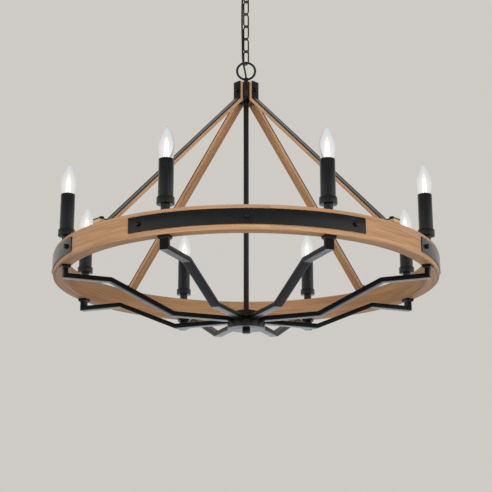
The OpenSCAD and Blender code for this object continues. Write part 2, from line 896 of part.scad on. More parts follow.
crossbar();
crossbar_nipple();
canopy();
canopy_loop();
canopy_lock_ring();
chain_link(1);  // chain_link_1
chain_link(2);  // chain_link_2
chain_link(3);  // chain_link_3
chain_link(4);  // chain_link_4
chain_link(5);  // chain_link_5
chain_link(6);  // chain_link_6
supply_cable();
hub_loop();
hub_column();
hex_nuts();
stem();
wood_arm(1);  // wood_arm_1
wood_arm(2);  // wood_arm_2
wood_arm(3);  // wood_arm_3
wood_arm(4);  // wood_arm_4
arm_strap(1);  // arm_strap_1
arm_strap(2);  // arm_strap_2
arm_strap(3);  // arm_strap_3
arm_strap(4);  // arm_strap_4
arm_screws();
foot_screws();
rim_segment(1);  // rim_segment_1
rim_segment(2);  // rim_segment_2
rim_segment(3);  // rim_segment_3
rim_segment(4);  // rim_segment_4
rim_strap(1);  // rim_strap_1
rim_strap(2);  // rim_strap_2
rim_strap(3);  // rim_strap_3
rim_strap(4);  // rim_strap_4
strap_screws();
lower_hub();
hub_cover();
hub_dome();
finial();
light_arm(1);  // light_arm_1
light_arm(2);  // light_arm_2
light_arm(3);  // light_arm_3
light_arm(4);  // light_arm_4
light_arm(5);  // light_arm_5
light_arm(6);  // light_arm_6
light_arm(7);  // light_arm_7
light_arm(8);  // light_arm_8
lamp_nipples();
candle_cups();
candle_sleeves();
lamp_sockets();
bulb(1);  // bulb_1
bulb(2);  // bulb_2
bulb(3);  // bulb_3
bulb(4);  // bulb_4
bulb(5);  // bulb_5
bulb(6);  // bulb_6
bulb(7);  // bulb_7
bulb(8);  // bulb_8
lamp_wires();
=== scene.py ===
import bpy
import bmesh
import math
import random
from mathutils import Matrix, Vector


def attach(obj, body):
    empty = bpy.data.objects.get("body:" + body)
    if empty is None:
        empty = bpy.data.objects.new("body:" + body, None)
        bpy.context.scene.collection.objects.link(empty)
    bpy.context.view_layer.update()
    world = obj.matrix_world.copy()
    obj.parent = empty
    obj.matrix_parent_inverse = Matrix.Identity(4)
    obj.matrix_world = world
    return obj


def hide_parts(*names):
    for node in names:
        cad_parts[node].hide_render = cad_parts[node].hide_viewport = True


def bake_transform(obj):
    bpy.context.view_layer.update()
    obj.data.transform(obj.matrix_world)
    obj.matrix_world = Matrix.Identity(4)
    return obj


# Looks of the wagon wheel chandelier: a finer piece with its material for each node of
# the CAD, and the photo's camera, floor, backdrop and lights. Materials come from noise.

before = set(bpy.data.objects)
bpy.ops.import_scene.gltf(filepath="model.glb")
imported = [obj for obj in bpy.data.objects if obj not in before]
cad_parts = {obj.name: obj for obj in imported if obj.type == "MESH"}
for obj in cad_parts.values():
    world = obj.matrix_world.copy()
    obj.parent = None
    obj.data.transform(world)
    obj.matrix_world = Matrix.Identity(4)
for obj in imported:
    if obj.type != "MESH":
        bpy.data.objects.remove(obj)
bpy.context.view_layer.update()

MM = 0.001
TAU = 2 * math.pi

# ---- Camera ----

CAMERA_PLACE = (-10.24, -2802.2, -1529.1)
CAMERA_YAW, CAMERA_PITCH, CAMERA_ROLL = 0.199, 15.607, -0.037
CAMERA_LENS = 88.22


def add_camera():
    yaw, pitch, roll = (math.radians(a) for a in (CAMERA_YAW, CAMERA_PITCH, CAMERA_ROLL))
    ahead = Vector((
        math.sin(yaw) * math.cos(pitch), math.cos(yaw) * math.cos(pitch), math.sin(pitch)))
    level = Vector((math.cos(yaw), -math.sin(yaw), 0))
    above = level.cross(ahead)
    right = math.cos(roll) * level + math.sin(roll) * above
    up = -math.sin(roll) * level + math.cos(roll) * above
    data = bpy.data.cameras.new("camera")
    data.sensor_width = 36
    data.lens = CAMERA_LENS
    data.clip_start, data.clip_end = 0.05, 60
    cam = bpy.data.objects.new("camera", data)
    matrix = Matrix((right, up, -ahead)).transposed().to_4x4()
    matrix.translation = Vector(CAMERA_PLACE) * MM
    cam.matrix_world = matrix
    bpy.context.scene.collection.objects.link(cam)
    bpy.context.scene.camera = cam


add_camera()

# ---- Numbers shared with the part, in millimetres ----

CANOPY_R, CANOPY_HOLE_R, CANOPY_WALL, CANOPY_SHOULDER = 62.5, 13.5, 1.2, 12
CANOPY_LOW, CANOPY_BEND_Z = -28, -15.4
COLLAR_R, COLLAR_BORE_R = 12.7, 5.2
COLLAR_TOP, COLLAR_LOW = -16.4, -38.3
CANOPY_LOOP_Z = -51.8
CANOPY_LOOP_R, CANOPY_LOOP_SIDE, CANOPY_LOOP_WIRE_R = 10.5, 8, 2
LOCK_RING_R, LOCK_RING_BORE_R = 18, 13.3
LOCK_RING_TOP, LOCK_RING_LOW = -28.3, -36.3
KNURLS = 24
HINGES = [-66.3, -100.6, -135.1, -169.6, -204.1, -238.6, -273.1]
LINK_COUNT = 6
LINK_STEP = 34.5
FIRST_LINK_TOP = -62.2
LINK_REACH = 38.4
LINK_R, LINK_SIDE, LINK_WIRE_R = 8.2, 22, 1.8
HUB_LOOP_Z = -290.0
HUB_LOOP_R, HUB_LOOP_WIRE_R = 22.7, 2.8
NUB_TOP = -308.9
COLUMN_TOP, COLUMN_FOOT = -328.4, -372.4
COLUMN_WIDTH, COLUMN_WALL, NUT_HEIGHT = 44, 2, 6
RIM_TOP, RIM_LOW = -785.2, -838.7
RIM_IN, RIM_OUT, RIM_MID = 428.5, 457, 442.75
STRAP_MID_Z = -810.7
STRAP_HALF_HEIGHT = 16.9
STRAP_HALF_ANGLE = 32.8
STRAP_IN, STRAP_OUT = RIM_OUT + 0.15, RIM_OUT + 2.65
SCREW_ANGLE = 29.6
RIM_JOINT_SHIFT = 6
ARM_FOOT = -774.2
ARM_FACE = [(33, COLUMN_TOP), (33, COLUMN_FOOT), (RIM_IN, ARM_FOOT), (RIM_OUT, ARM_FOOT)]
ARM_STRAP, ARM_WOOD, ARM_WIDTH = 3, 8, 22
SCREW_HEAD, SCREW_HEIGHT = 11, 6
STEM_R, STEM_BORE_R, STEM_HOLE_R = 6.5, 4.5, 6.65
FOOT_PLATE_LOW = -846.7
TUBE_LINE = [
    (36, -929.7), (184, -929.7), (336, -863.7), (RIM_MID, -863.7), (RIM_MID, FOOT_PLATE_LOW)]
TUBE_THICK, TUBE_WIDTH, TUBE_BEND = 11, 20, 12
HUB_TOP, HUB_LOW = -924.2, -935.2
COVER_LOW, FINIAL_LOW = -950.7, -961.7
CUP_LOW, CUP_TOP, SEAT_Z = -771.2, -756.2, -768.2
SLEEVE_TOP = -671.7
GLASS_LOW, GLASS_TIP = -681.2, -597.2
GLASS_WIDE = SLEEVE_TOP + 0.36 * 74.5  # height of the bulb's widest place
CABLE_R = 2.25
CABLE_ROUTE = [
    (0, 0, -3), (0, 0, -22), (0, 0, -37), (-0.6, 0, -43), (-2.4, 0, -49), (-4.8, 0, -55),
    (-7, 0, -61), (-8.4, 0, -68), (-9, 0, -76), (-9.4, 0.2, -96), (-10, 0.5, -120),
    (-10.2, 0.6, -145), (-10, 0.4, -170), (-9.6, 0.2, -195), (-9.3, -0.2, -220), (-9, -1.2, -236),
    (-8.8, -2.7, -247), (-8.4, -4.3, -257), (-7.5, -5.6, -267), (-6, -5.8, -277),
    (-3.9, -4.6, -287), (-1.8, -2.5, -297), (-0.4, -0.6, -305), (0, 0, -311), (0, 0, -322),
]
CABLE_CUTS = [-3, -83.45, -117.85, -152.35, -186.85, -221.35, -255.85, -322]


def lamp_angle(n):
    return (n - 0.5) * 45


def arm_angle(n):
    return (n - 0.5) * 90


# ---- Node helpers ----

def new_material(name):
    mat = bpy.data.materials.new(name)
    mat.use_nodes = True
    tree = mat.node_tree
    tree.nodes.clear()
    return mat, tree


def node(tree, kind, ins=None, **props):
    made = tree.nodes.new(kind)
    for key, value in props.items():
        setattr(made, key, value)
    for key, value in (ins or {}).items():
        socket = made.inputs[key]
        if isinstance(value, bpy.types.NodeSocket):
            tree.links.new(value, socket)
        else:
            socket.default_value = value
    return made


def math_node(tree, op, a, b=0.0, c=0.0, clamp=False):
    made = node(tree, "ShaderNodeMath", {0: a, 1: b, 2: c}, operation=op)
    made.use_clamp = clamp
    return made.outputs[0]


def vector_math(tree, op, a, b=(0, 0, 0)):
    made = node(tree, "ShaderNodeVectorMath", {0: a, 1: b}, operation=op)
    return made.outputs["Value" if op in ("DOT_PRODUCT", "LENGTH") else "Vector"]


def mix_colour(tree, factor, a, b, blend="MIX"):
    made = node(
        tree, "ShaderNodeMix", {0: factor, 6: a, 7: b}, data_type="RGBA", blend_type=blend)
    return made.outputs[2]


def ramp(tree, factor, *stops):
    made = node(tree, "ShaderNodeValToRGB", {0: factor})
    elements = made.color_ramp.elements
    while len(elements) < len(stops):
        elements.new(0.5)
    for element, (place, colour) in zip(elements, stops):
        element.position = place
        element.color = colour if len(colour) == 4 else (*colour, 1)
    return made.outputs["Color"]


def mixed_shader(tree, factor, a, b):
    return node(tree, "ShaderNodeMixShader", {0: factor, 1: a, 2: b}).outputs[0]


def grey(v):
    return (v, v, v, 1)


def noise(tree, vector, scale, detail, rough=0.5):
    made = node(tree, "ShaderNodeTexNoise", {
        "Vector": vector, "Scale": scale, "Detail": detail, "Roughness": rough,
    })
    return made.outputs["Fac"]


def linear(r, g, b):
    """A colour given in sRGB from 0 to 255, as linear values."""
    def one(v):
        v /= 255
        return v / 12.92 if v <= 0.04045 else ((v + 0.055) / 1.055) ** 2.4

    return (one(r), one(g), one(b), 1)


def principled(tree, ins, bump_height=None, strength=1.0, distance=0.0001):
    """Puts a Principled shader on the material's output, with an optional bump."""
    ins = dict(ins)
    if bump_height is not None:
        ins["Normal"] = node(tree, "ShaderNodeBump", {
            "Height": bump_height, "Strength": strength, "Distance": distance,
        }).outputs[0]
    shader = node(tree, "ShaderNodeBsdfPrincipled", ins)
    node(tree, "ShaderNodeOutputMaterial", {"Surface": shader.outputs[0]})


# ---- Materials ----

def black_metal(name, base=0.0045, rough=0.25, dull_sides=False):
    """Satin black paint on steel: dark face on, and pale where the light grazes it.

    With dull_sides, upright faces have a duller coat than level ones."""
    mat, tree = new_material(name)
    place = node(tree, "ShaderNodeTexCoord").outputs["Object"]
    cloud = noise(tree, place, 38, 4, 0.6)
    grain = noise(tree, place, 420, 2, 0.5)
    colour = ramp(tree, cloud, (0.3, grey(base * 0.82)), (0.7, grey(base * 1.25)))
    roughness = ramp(tree, cloud, (0.3, grey(rough - 0.05)), (0.7, grey(rough + 0.06)))
    ins = {"Base Color": colour, "Roughness": roughness, "IOR": 1.52}
    if dull_sides:
        normal = node(tree, "ShaderNodeTexCoord").outputs["Normal"]
        level = math_node(
            tree, "ABSOLUTE", node(tree, "ShaderNodeSeparateXYZ", {0: normal}).outputs[2])
        ins["Specular IOR Level"] = ramp(tree, level, (0.3, grey(0.13)), (0.6, grey(0.5)))
    principled(tree, ins, grain, 0.05, 0.00006)
    return mat


def zinc_metal(name):
    mat, tree = new_material(name)
    place = node(tree, "ShaderNodeTexCoord").outputs["Object"]
    cloud = noise(tree, place, 160, 4, 0.6)
    grain = noise(tree, place, 1800, 2, 0.5)
    colour = ramp(tree, cloud, (0.3, (0.42, 0.42, 0.43)), (0.7, (0.62, 0.62, 0.62)))
    roughness = ramp(tree, cloud, (0.3, grey(0.26)), (0.7, grey(0.42)))
    principled(
        tree, {"Base Color": colour, "Roughness": roughness, "Metallic": 1.0},
        grain, 0.2, 0.0001,
    )
    return mat


def moulded(name, base, rough):
    mat, tree = new_material(name)
    place = node(tree, "ShaderNodeTexCoord").outputs["Object"]
    cloud = noise(tree, place, 60, 3)
    grain = noise(tree, place, 1500, 3)
    colour = ramp(
        tree, cloud,
        (0.3, tuple(c * 0.85 for c in base)), (0.7, tuple(c * 1.15 for c in base)),
    )
    principled(
        tree, {"Base Color": colour, "Roughness": rough, "Specular IOR Level": 0.4},
        grain, 0.2, 0.0001,
    )
    return mat


def oak(name, along, inner, painted_shade_tint, lines=None, ends=None,
        tone=1.0, streak_scale=340, pore=0.3):
    """Oak with its grain along the first coordinate of the vector that along() makes.

    inner() gives a factor that is 1 on the faces turned inwards, which get painted shade, a darker
    and browner tint; lines() one that is 1 on thin dark joint lines, and ends() one that is 1 on
    end faces, which get painted light, paler and yellower."""
    mat, tree = new_material(name)
    turn = node(tree, "ShaderNodeAttribute", attribute_name="turn").outputs["Fac"]
    place = node(tree, "ShaderNodeVectorRotate", {
        "Vector": node(tree, "ShaderNodeTexCoord").outputs["Object"],
        "Angle": math_node(tree, "MULTIPLY", turn, -1.0),
    }, rotation_type="Z_AXIS").outputs[0]
    board = node(tree, "ShaderNodeAttribute", attribute_name="board").outputs["Fac"]
    shift = node(tree, "ShaderNodeCombineXYZ", {
        0: math_node(tree, "MULTIPLY", board, 7.31),
        1: math_node(tree, "MULTIPLY", board, 1.37),
        2: math_node(tree, "MULTIPLY", board, 0.53),
    }).outputs[0]
    grain_place = vector_math(tree, "ADD", along(tree, place), shift)

    def figure(vector, along_grain, across, detail, rough=0.5):
        """Noise with its sizes per metre given along and across the grain."""
        scaled = vector_math(tree, "MULTIPLY", vector, (along_grain, across, across))
        return noise(tree, scaled, 1.0, detail, rough)

    wander = figure(grain_place, 2.2, 9, 2)
    bent = vector_math(tree, "ADD", grain_place, node(tree, "ShaderNodeCombineXYZ", {
        1: math_node(tree, "MULTIPLY", wander, 0.022),
        2: math_node(tree, "MULTIPLY", wander, 0.016),
    }).outputs[0])
    broad = figure(bent, 3.5, 70, 3, 0.55)
    streak = figure(bent, 8, streak_scale, 2.5)
    pores = figure(bent, 60, 1500, 2)
    tint = figure(grain_place, 1.1, 3, 2)
    dark, middle, light = (
        tuple(c * tone for c in linear(*shade)[:3])
        for shade in ((169, 130, 96), (178, 139, 104), (186, 148, 112)))
    colour = ramp(tree, broad, (0.3, dark), (0.5, middle), (0.7, light))
    streaks = ramp(tree, streak, (0.38, grey(0.80)), (0.5, grey(0.99)), (0.64, grey(1.10)))
    colour = mix_colour(tree, 1.0, colour, streaks, "MULTIPLY")
    pore_mask = ramp(tree, pores, (0.60, grey(0)), (0.70, grey(1)))
    colour = mix_colour(
        tree, math_node(tree, "MULTIPLY", pore_mask, pore), colour, linear(96, 64, 42))
    warm = ramp(tree, tint, (0.35, (0.93, 0.9, 0.86)), (0.65, (1.06, 1.05, 1.05)))
    colour = mix_colour(tree, 1.0, colour, warm, "MULTIPLY")
    # Painted shade: the faces that inner() picks out are multiplied by a darker, browner tint
    colour = mix_colour(tree, inner(tree, place), colour, mix_colour(
        tree, 1.0, colour, (*painted_shade_tint, 1), "MULTIPLY"))
    # Painted light: the faces that ends() picks out are made paler and yellower
    if ends is not None:
        colour = mix_colour(tree, ends(tree), colour, mix_colour(
            tree, 1.0, colour, (1.14, 1.36, 1.2, 1), "MULTIPLY"))
    height = math_node(
        tree, "SUBTRACT", math_node(tree, "MULTIPLY", streak, 0.5),
        math_node(tree, "MULTIPLY", pore_mask, 0.6),
    )
    if lines is not None:
        line = lines(tree, place)
        colour = mix_colour(
            tree, math_node(tree, "MULTIPLY", line, 0.75), colour, linear(62, 40, 26))
        height = math_node(tree, "SUBTRACT", height, line)
    roughness = ramp(tree, streak, (0.3, grey(0.62)), (0.7, grey(0.5)))
    principled(
        tree,
        {"Base Color": colour, "Roughness": roughness, "Specular IOR Level": 0.3},
        height, 0.15, 0.0002,
    )
    return mat


def rim_grain(tree, place):
    """Arc length, height and radius, so that the grain runs round the rim."""
    x, y, z = node(tree, "ShaderNodeSeparateXYZ", {0: place}).outputs
    angle = math_node(tree, "ARCTAN2", y, x)
    squares = [math_node(tree, "MULTIPLY", v, v) for v in (x, y)]
    radius = math_node(tree, "SQRT", math_node(tree, "ADD", *squares))
    return node(tree, "ShaderNodeCombineXYZ", {
        0: math_node(tree, "MULTIPLY", angle, RIM_MID * MM), 1: z, 2: radius,
    }).outputs[0]


def rim_inner_painted_shade(tree, place):
    """1 on the rim's inner face, which gets painted shade."""
    split = node(tree, "ShaderNodeSeparateXYZ", {0: rim_grain(tree, place)})
    return math_node(tree, "LESS_THAN", split.outputs[2], (RIM_IN + 0.9) * MM)


def arm_facing(tree, direction):
    """How far an arm's face looks in a direction given for an arm along X."""
    turn = node(tree, "ShaderNodeAttribute", attribute_name="turn").outputs["Fac"]
    normal = node(tree, "ShaderNodeVectorRotate", {
        "Vector": node(tree, "ShaderNodeTexCoord").outputs["Normal"],
        "Angle": math_node(tree, "MULTIPLY", turn, -1.0),
    }, rotation_type="Z_AXIS").outputs[0]
    return vector_math(tree, "DOT_PRODUCT", normal, direction)


def arm_painted_shade(tree, _place):
    """1 where an arm's face looks down or towards the middle, the faces that get painted shade."""
    return math_node(tree, "MULTIPLY", arm_facing(tree, (-0.75, 0, -0.66)), 1.6, clamp=True)


def arm_ends_painted_light(tree):
    """1 on the arms' end faces at the rim, which get painted light."""
    return math_node(
        tree, "MULTIPLY_ADD", arm_facing(tree, (1, 0, 0)), 10.0, -8.0, clamp=True)


ARM_DIRECTIONS = [(Vector(b) - Vector(a)).normalized() for a, b in zip(ARM_FACE, ARM_FACE[1:])]


def past_bend(tree, place, i):
    """Signed distance past the mitre plane of an arm's bend, in metres."""
    before, after = ARM_DIRECTIONS[i - 1], ARM_DIRECTIONS[i]
    mean = (before + after).normalized()
    offset = mean.dot(Vector(ARM_FACE[i])) * MM
    dot = vector_math(tree, "DOT_PRODUCT", place, (mean.x, 0, mean.y))
    return math_node(tree, "SUBTRACT", dot, offset)


def arm_grain(tree, place):
    """Grain along each straight part of an arm, changed at the two mitres."""
    made = None
    for i, d in enumerate(ARM_DIRECTIONS):
        part = node(tree, "ShaderNodeCombineXYZ", {
            0: vector_math(tree, "DOT_PRODUCT", place, (d.x, 0, d.y)),
            1: vector_math(tree, "DOT_PRODUCT", place, (0, 1, 0)),
            2: vector_math(tree, "DOT_PRODUCT", place, (-d.y, 0, d.x)),
        }).outputs[0]
        part = vector_math(tree, "ADD", part, (0.37 * i, 0.11 * i, 0.07 * i))
        if made is None:
            made = part
            continue
        past = math_node(tree, "GREATER_THAN", past_bend(tree, place, i), 0.0)
        made = node(
            tree, "ShaderNodeMix", {0: past, 4: made, 5: part}, data_type="VECTOR").outputs[1]
    return made


MITRE_LINE_HALF = 0.28


def arm_lines(tree, place):
    """1 on the thin joint lines at the two mitres."""
    away = [math_node(tree, "ABSOLUTE", past_bend(tree, place, i)) for i in (1, 2)]
    return math_node(
        tree, "LESS_THAN", math_node(tree, "MINIMUM", *away), MITRE_LINE_HALF * MM)


def clear_glass(name):
    """Clear glass with a faint glow from the filaments, whitest where it faces the eye."""
    mat, tree = new_material(name)
    place = node(tree, "ShaderNodeTexCoord").outputs["Object"]
    wave = noise(tree, place, 60, 2)
    rough = ramp(tree, wave, (0.3, grey(0.0)), (0.7, grey(0.03)))
    height = node(tree, "ShaderNodeMapRange", {
        "Value": node(tree, "ShaderNodeSeparateXYZ", {0: place}).outputs[2],
        "From Min": GLASS_LOW * MM, "From Max": GLASS_TIP * MM,
    }).outputs[0]
    halo = ramp(
        tree, height, (0.1, (1.0, 0.94, 0.84)), (0.5, (0.92, 0.9, 0.92)), (0.8, (0.66, 0.68, 0.8)))
    edge = node(tree, "ShaderNodeLayerWeight", {"Blend": 0.5}).outputs["Facing"]
    facing = math_node(tree, "SUBTRACT", 1.0, edge)
    glow = math_node(tree, "MULTIPLY_ADD", math_node(tree, "POWER", facing, 2.6), 0.07, 0.014)
    glass = node(tree, "ShaderNodeBsdfPrincipled", {
        "Base Color": (0.97, 0.98, 1.0, 1), "Roughness": rough,
        "Transmission Weight": 1.0, "IOR": 1.45,
        "Emission Color": halo, "Emission Strength": glow,
    })
    clear = node(tree, "ShaderNodeBsdfTransparent", {"Color": (0.97, 0.97, 0.97, 1)})
    ray = node(tree, "ShaderNodeLightPath")
    shown = mixed_shader(tree, ray.outputs["Is Shadow Ray"], glass.outputs[0], clear.outputs[0])
    node(tree, "ShaderNodeOutputMaterial", {"Surface": shown})
    return mat


def glowing(name, colour, strength):
    """A filament's coating, bright from within."""
    mat, tree = new_material(name)
    place = node(tree, "ShaderNodeTexCoord").outputs["Object"]
    beads = noise(tree, place, 900, 2)
    tone = ramp(
        tree, beads, (0.3, tuple(c * 0.92 for c in colour)), (0.7, colour))
    principled(tree, {
        "Base Color": tone, "Emission Color": tone, "Emission Strength": strength,
        "Roughness": 0.6,
    })
    return mat


STEEL = black_metal("black_steel_satin")
CHAIN_STEEL = black_metal("black_steel_chain", 0.005, 0.3)
ARM_STEEL = black_metal("black_steel_light_arms", dull_sides=True)
# The rim's inner face gets painted shade, a darker and browner tint
OAK_RIM = oak("oak_rim", rim_grain, rim_inner_painted_shade, (0.8, 0.76, 0.7))
# The arms' faces that look down or inwards get painted shade, and their end faces get painted
# light
OAK_ARM = oak(
    "oak_arm", arm_grain, arm_painted_shade, (0.97, 0.92, 0.84), arm_lines, arm_ends_painted_light, 1.04, 240, 0.2)
ZINC = zinc_metal("zinc_plated")
BRASS = moulded("lamp_base_brass", (0.62, 0.48, 0.26), 0.3)
SOCKET = moulded("socket_moulding", (0.02, 0.019, 0.018), 0.5)
SHEATH = moulded("cable_sheath_pvc", (0.012, 0.012, 0.012), 0.45)
GLASS = clear_glass("bulb_clear_glass")
FILAMENT = glowing("filament_glow", (1.0, 0.85, 0.52), 1.5)
FILAMENT_TIP = glowing("filament_tip_glow", (0.86, 0.80, 0.46), 0.5)

# ---- Shapes: each is a pair of point list and face list, in millimetres ----

def joined(*shapes):
    points, faces = [], []
    for more, its_faces in shapes:
        start = len(points)
        points += list(more)
        faces += [tuple(start + i for i in f) for f in its_faces]
    return points, faces


def placed(shape, matrix):
    return [tuple(matrix @ Vector(p)) for p in shape[0]], shape[1]


def shifted(shape, x=0, y=0, z=0):
    return placed(shape, Matrix.Translation((x, y, z)))


def turned(shape, degrees, axis="Z"):
    return placed(shape, Matrix.Rotation(math.radians(degrees), 4, axis))


def rounded(points, closed, steps):
    """A polyline of (x, y, radius) corners with each corner drawn as an arc."""
    count = len(points)
    made = []
    for i, corner in enumerate(points):
        here = Vector(corner[:2])
        radius = corner[2] if len(corner) > 2 else 0
        if radius <= 0 or (not closed and i in (0, count - 1)):
            made.append(tuple(here))
            continue
        back = (Vector(points[i - 1][:2]) - here).normalized()
        on = (Vector(points[(i + 1) % count][:2]) - here).normalized()
        half = back.angle(on) / 2
        reach = radius / math.tan(half)
        centre = here + (back + on).normalized() * (radius / math.sin(half))
        first = here + back * reach - centre
        last = here + on * reach - centre
        sweep = first.angle(last)
        side = 1 if first.x * last.y - first.y * last.x > 0 else -1
        for k in range(steps + 1):
            a = side * sweep * k / steps
            made.append((
                centre.x + first.x * math.cos(a) - first.y * math.sin(a),
                centre.y + first.x * math.sin(a) + first.y * math.cos(a),
            ))
    return made


def lathe(profile, around, closed=True):
    """A profile of (radius, z) turned round Z. closed joins its last point to its first."""
    points, rings, faces = [], [], []
    for r, z in profile:
        if abs(r) < 1e-6:
            rings.append([len(points)] * around)
            points.append((0, 0, z))
            continue
        rings.append(list(range(len(points), len(points) + around)))
        points += [
            (r * math.cos(TAU * k / around), r * math.sin(TAU * k / around), z)
            for k in range(around)
        ]
    pairs = list(zip(rings, rings[1:])) + ([(rings[-1], rings[0])] if closed else [])
    for a, b in pairs:
        for k in range(around):
            m = (k + 1) % around
            face = []
            for index in (a[k], a[m], b[m], b[k]):
                if index not in face:
                    face.append(index)
            if len(face) > 2:
                faces.append(tuple(face))
    return points, faces


def ring_faces(rings, size, closed_path=False):
    """Walls between point rings that follow each other, with caps on an open path."""
    faces = []
    for i in range(rings if closed_path else rings - 1):
        j = (i + 1) % rings
        for k in range(size):
            m = (k + 1) % size
            faces.append((i * size + k, i * size + m, j * size + m, j * size + k))
    if not closed_path:
        faces.append(tuple(range(size)))
        faces.append(tuple((rings - 1) * size + k for k in range(size)))
    return faces


def arc_sweep(profile, start, end, step, inset):
    """A closed (radius, z) profile swept round Z between two angles, with eased ends."""
    mean_r = sum(r for r, z in profile) / len(profile)
    mean_z = sum(z for r, z in profile) / len(profile)
    half_r = max(abs(r - mean_r) for r, z in profile)
    half_z = max(abs(z - mean_z) for r, z in profile)
    ease = math.degrees(inset / mean_r)
    count = max(2, round((end - start) / step))
    stations = [(start, inset)] if inset else []
    stations += [
        (start + ease + (end - start - 2 * ease) * k / count, 0) for k in range(count + 1)
    ]
    stations += [(end, inset)] if inset else []
    points = []
    for a, shrink in stations:
        t = math.radians(a)
        for r, z in profile:
            rr = mean_r + (r - mean_r) * (1 - shrink / half_r)
            zz = mean_z + (z - mean_z) * (1 - shrink / half_z)
            points.append((rr * math.cos(t), rr * math.sin(t), zz))
    return points, ring_faces(len(stations), len(profile))


def side_vectors(path):
    """The sideways direction at each point of a path, mitred at its bends."""
    made = []
    for i in range(len(path)):
        before = (Vector(path[max(i, 1)]) - Vector(path[max(i, 1) - 1])).normalized()
        j = min(i, len(path) - 2)
        after = (Vector(path[j + 1]) - Vector(path[j])).normalized()
        a, b = Vector((before.y, -before.x)), Vector((after.y, -after.x))
        made.append((a + b) / (1 + a.dot(b)))
    return made


def path_sweep(path, section):
    """A closed section of (sideways, y) swept along a path of (distance, height)."""
    points = []
    for place, side in zip(path, side_vectors(path)):
        for a, b in section:
            points.append((place[0] + side.x * a, b, place[1] + side.y * a))
    return points, ring_faces(len(path), len(section))


def wire(points, radius, sides, closed=False, taper=None):
    """A round wire along points in space."""
    count = len(points)
    pts = [Vector(p) for p in points]
    tangents = []
    for i in range(count):
        if closed:
            t = pts[(i + 1) % count] - pts[i - 1]
        else:
            t = pts[min(i + 1, count - 1)] - pts[max(i - 1, 0)]
        tangents.append(t.normalized())
    normal = tangents[0].orthogonal().normalized()
    made = []
    for i in range(count):
        t = tangents[i]
        normal = (normal - t * normal.dot(t)).normalized()
        across = t.cross(normal)
        r = radius * (taper[i] if taper else 1)
        for k in range(sides):
            a = TAU * k / sides
            made.append(tuple(pts[i] + r * (math.cos(a) * normal + math.sin(a) * across)))
    return made, ring_faces(count, sides, closed)


def rect(width, height, radius, steps, x=0):
    """A rectangle with rounded corners, with its middle at x."""
    w, h = width / 2, height / 2
    return rounded([
        (x - w, -h, radius), (x + w, -h, radius), (x + w, h, radius), (x - w, h, radius),
    ], True, steps)


def prism(outline, low, high, ease):
    """An outline in x and y between two heights, with eased edges."""
    span_x = max(abs(x) for x, y in outline)
    span_y = max(abs(y) for x, y in outline)
    points = []
    for z, shrink in ((low, ease), (low + ease, 0), (high - ease, 0), (high, ease)):
        for x, y in outline:
            points.append((x * (1 - shrink / span_x), y * (1 - shrink / span_y), z))
    return points, ring_faces(4, len(outline))


def screw(length):
    """A round flat head with an eased edge on z = 0, and its shank below."""
    r, h, shank_r = SCREW_HEAD / 2, SCREW_HEIGHT, 2
    return lathe([
        (0, -length), (shank_r * 0.6, -length), (shank_r, -length + 3), (shank_r, 0),
        (r - 0.2, 0), (r, 0.2), (r, h - 1), (r - 0.2, h - 0.45), (r - 0.8, h), (0, h + 0.15),
    ], 32, False)


def polygon(radius, sides):
    """A regular polygon in x and y, with its first corner on X."""
    return [
        (radius * math.cos(TAU * k / sides), radius * math.sin(TAU * k / sides))
        for k in range(sides)]


def oval(radius, side, count):
    """The middle line of a link with straight sides, in the XZ plane."""
    made = []
    steps = 4
    for turn, z in ((0, side / 2), (180, -side / 2)):
        for k in range(count + 1):
            a = math.radians(turn + 180 * k / count)
            made.append((radius * math.cos(a), 0, z + radius * math.sin(a)))
        x = radius * math.cos(math.radians(turn + 180))
        made += [(x, 0, z - math.copysign(side, z) * k / steps) for k in range(1, steps)]
    return made


def hexagon(flats):
    return polygon(flats / math.sqrt(3), 6)


# ---- Pieces ----

def piece(name, shape, mat, body, nodes, turn=0.0, sharp=38, board=None):
    """Makes one object from a shape, on its body, in place of its CAD nodes."""
    mesh = bpy.data.meshes.new(name)
    if turn:
        shape = turned(shape, turn)
    mesh.from_pydata([tuple(c * MM for c in p) for p in shape[0]], [], shape[1])
    bm = bmesh.new()
    bm.from_mesh(mesh)
    bmesh.ops.remove_doubles(bm, verts=bm.verts, dist=1e-6)
    bmesh.ops.recalc_face_normals(bm, faces=bm.faces)
    bm.to_mesh(mesh)
    bm.free()
    mesh.materials.append(mat)
    mesh.polygons.foreach_set("use_smooth", [True] * len(mesh.polygons))
    mesh.set_sharp_from_angle(angle=math.radians(sharp))
    if board is not None:
        for key, value in (("board", board), ("turn", math.radians(turn))):
            attribute = mesh.attributes.new(key, "FLOAT", "POINT")
            attribute.data.foreach_set("value", [value] * len(mesh.vertices))
    obj = bpy.data.objects.new(name, mesh)
    bpy.context.scene.collection.objects.link(obj)
    if body is not None:
        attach(obj, body)
    if nodes:
        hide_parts(*nodes)
    return obj


def spline_at(route, z):
    """The route's place at a height, smoothed between its points."""
    i = max(k for k in range(len(route) - 1) if route[k][2] >= z or k == 0)
    p1, p2 = Vector(route[i]), Vector(route[i + 1])
    p0 = Vector(route[i - 1]) if i else p1 * 2 - p2
    p3 = Vector(route[i + 2]) if i + 2 < len(route) else p2 * 2 - p1

    def slope(a, b):
        return (b - a) / (b.z - a.z)

    m1 = (slope(p0, p1) + slope(p1, p2)) / 2
    m2 = (slope(p1, p2) + slope(p2, p3)) / 2
    h = p2.z - p1.z
    t = (z - p1.z) / h
    made = (
        (2 * t ** 3 - 3 * t ** 2 + 1) * p1 + (t ** 3 - 2 * t ** 2 + t) * h * m1
        + (-2 * t ** 3 + 3 * t ** 2) * p2 + (t ** 3 - t ** 2) * h * m2
    )
    return (made.x, made.y, z)


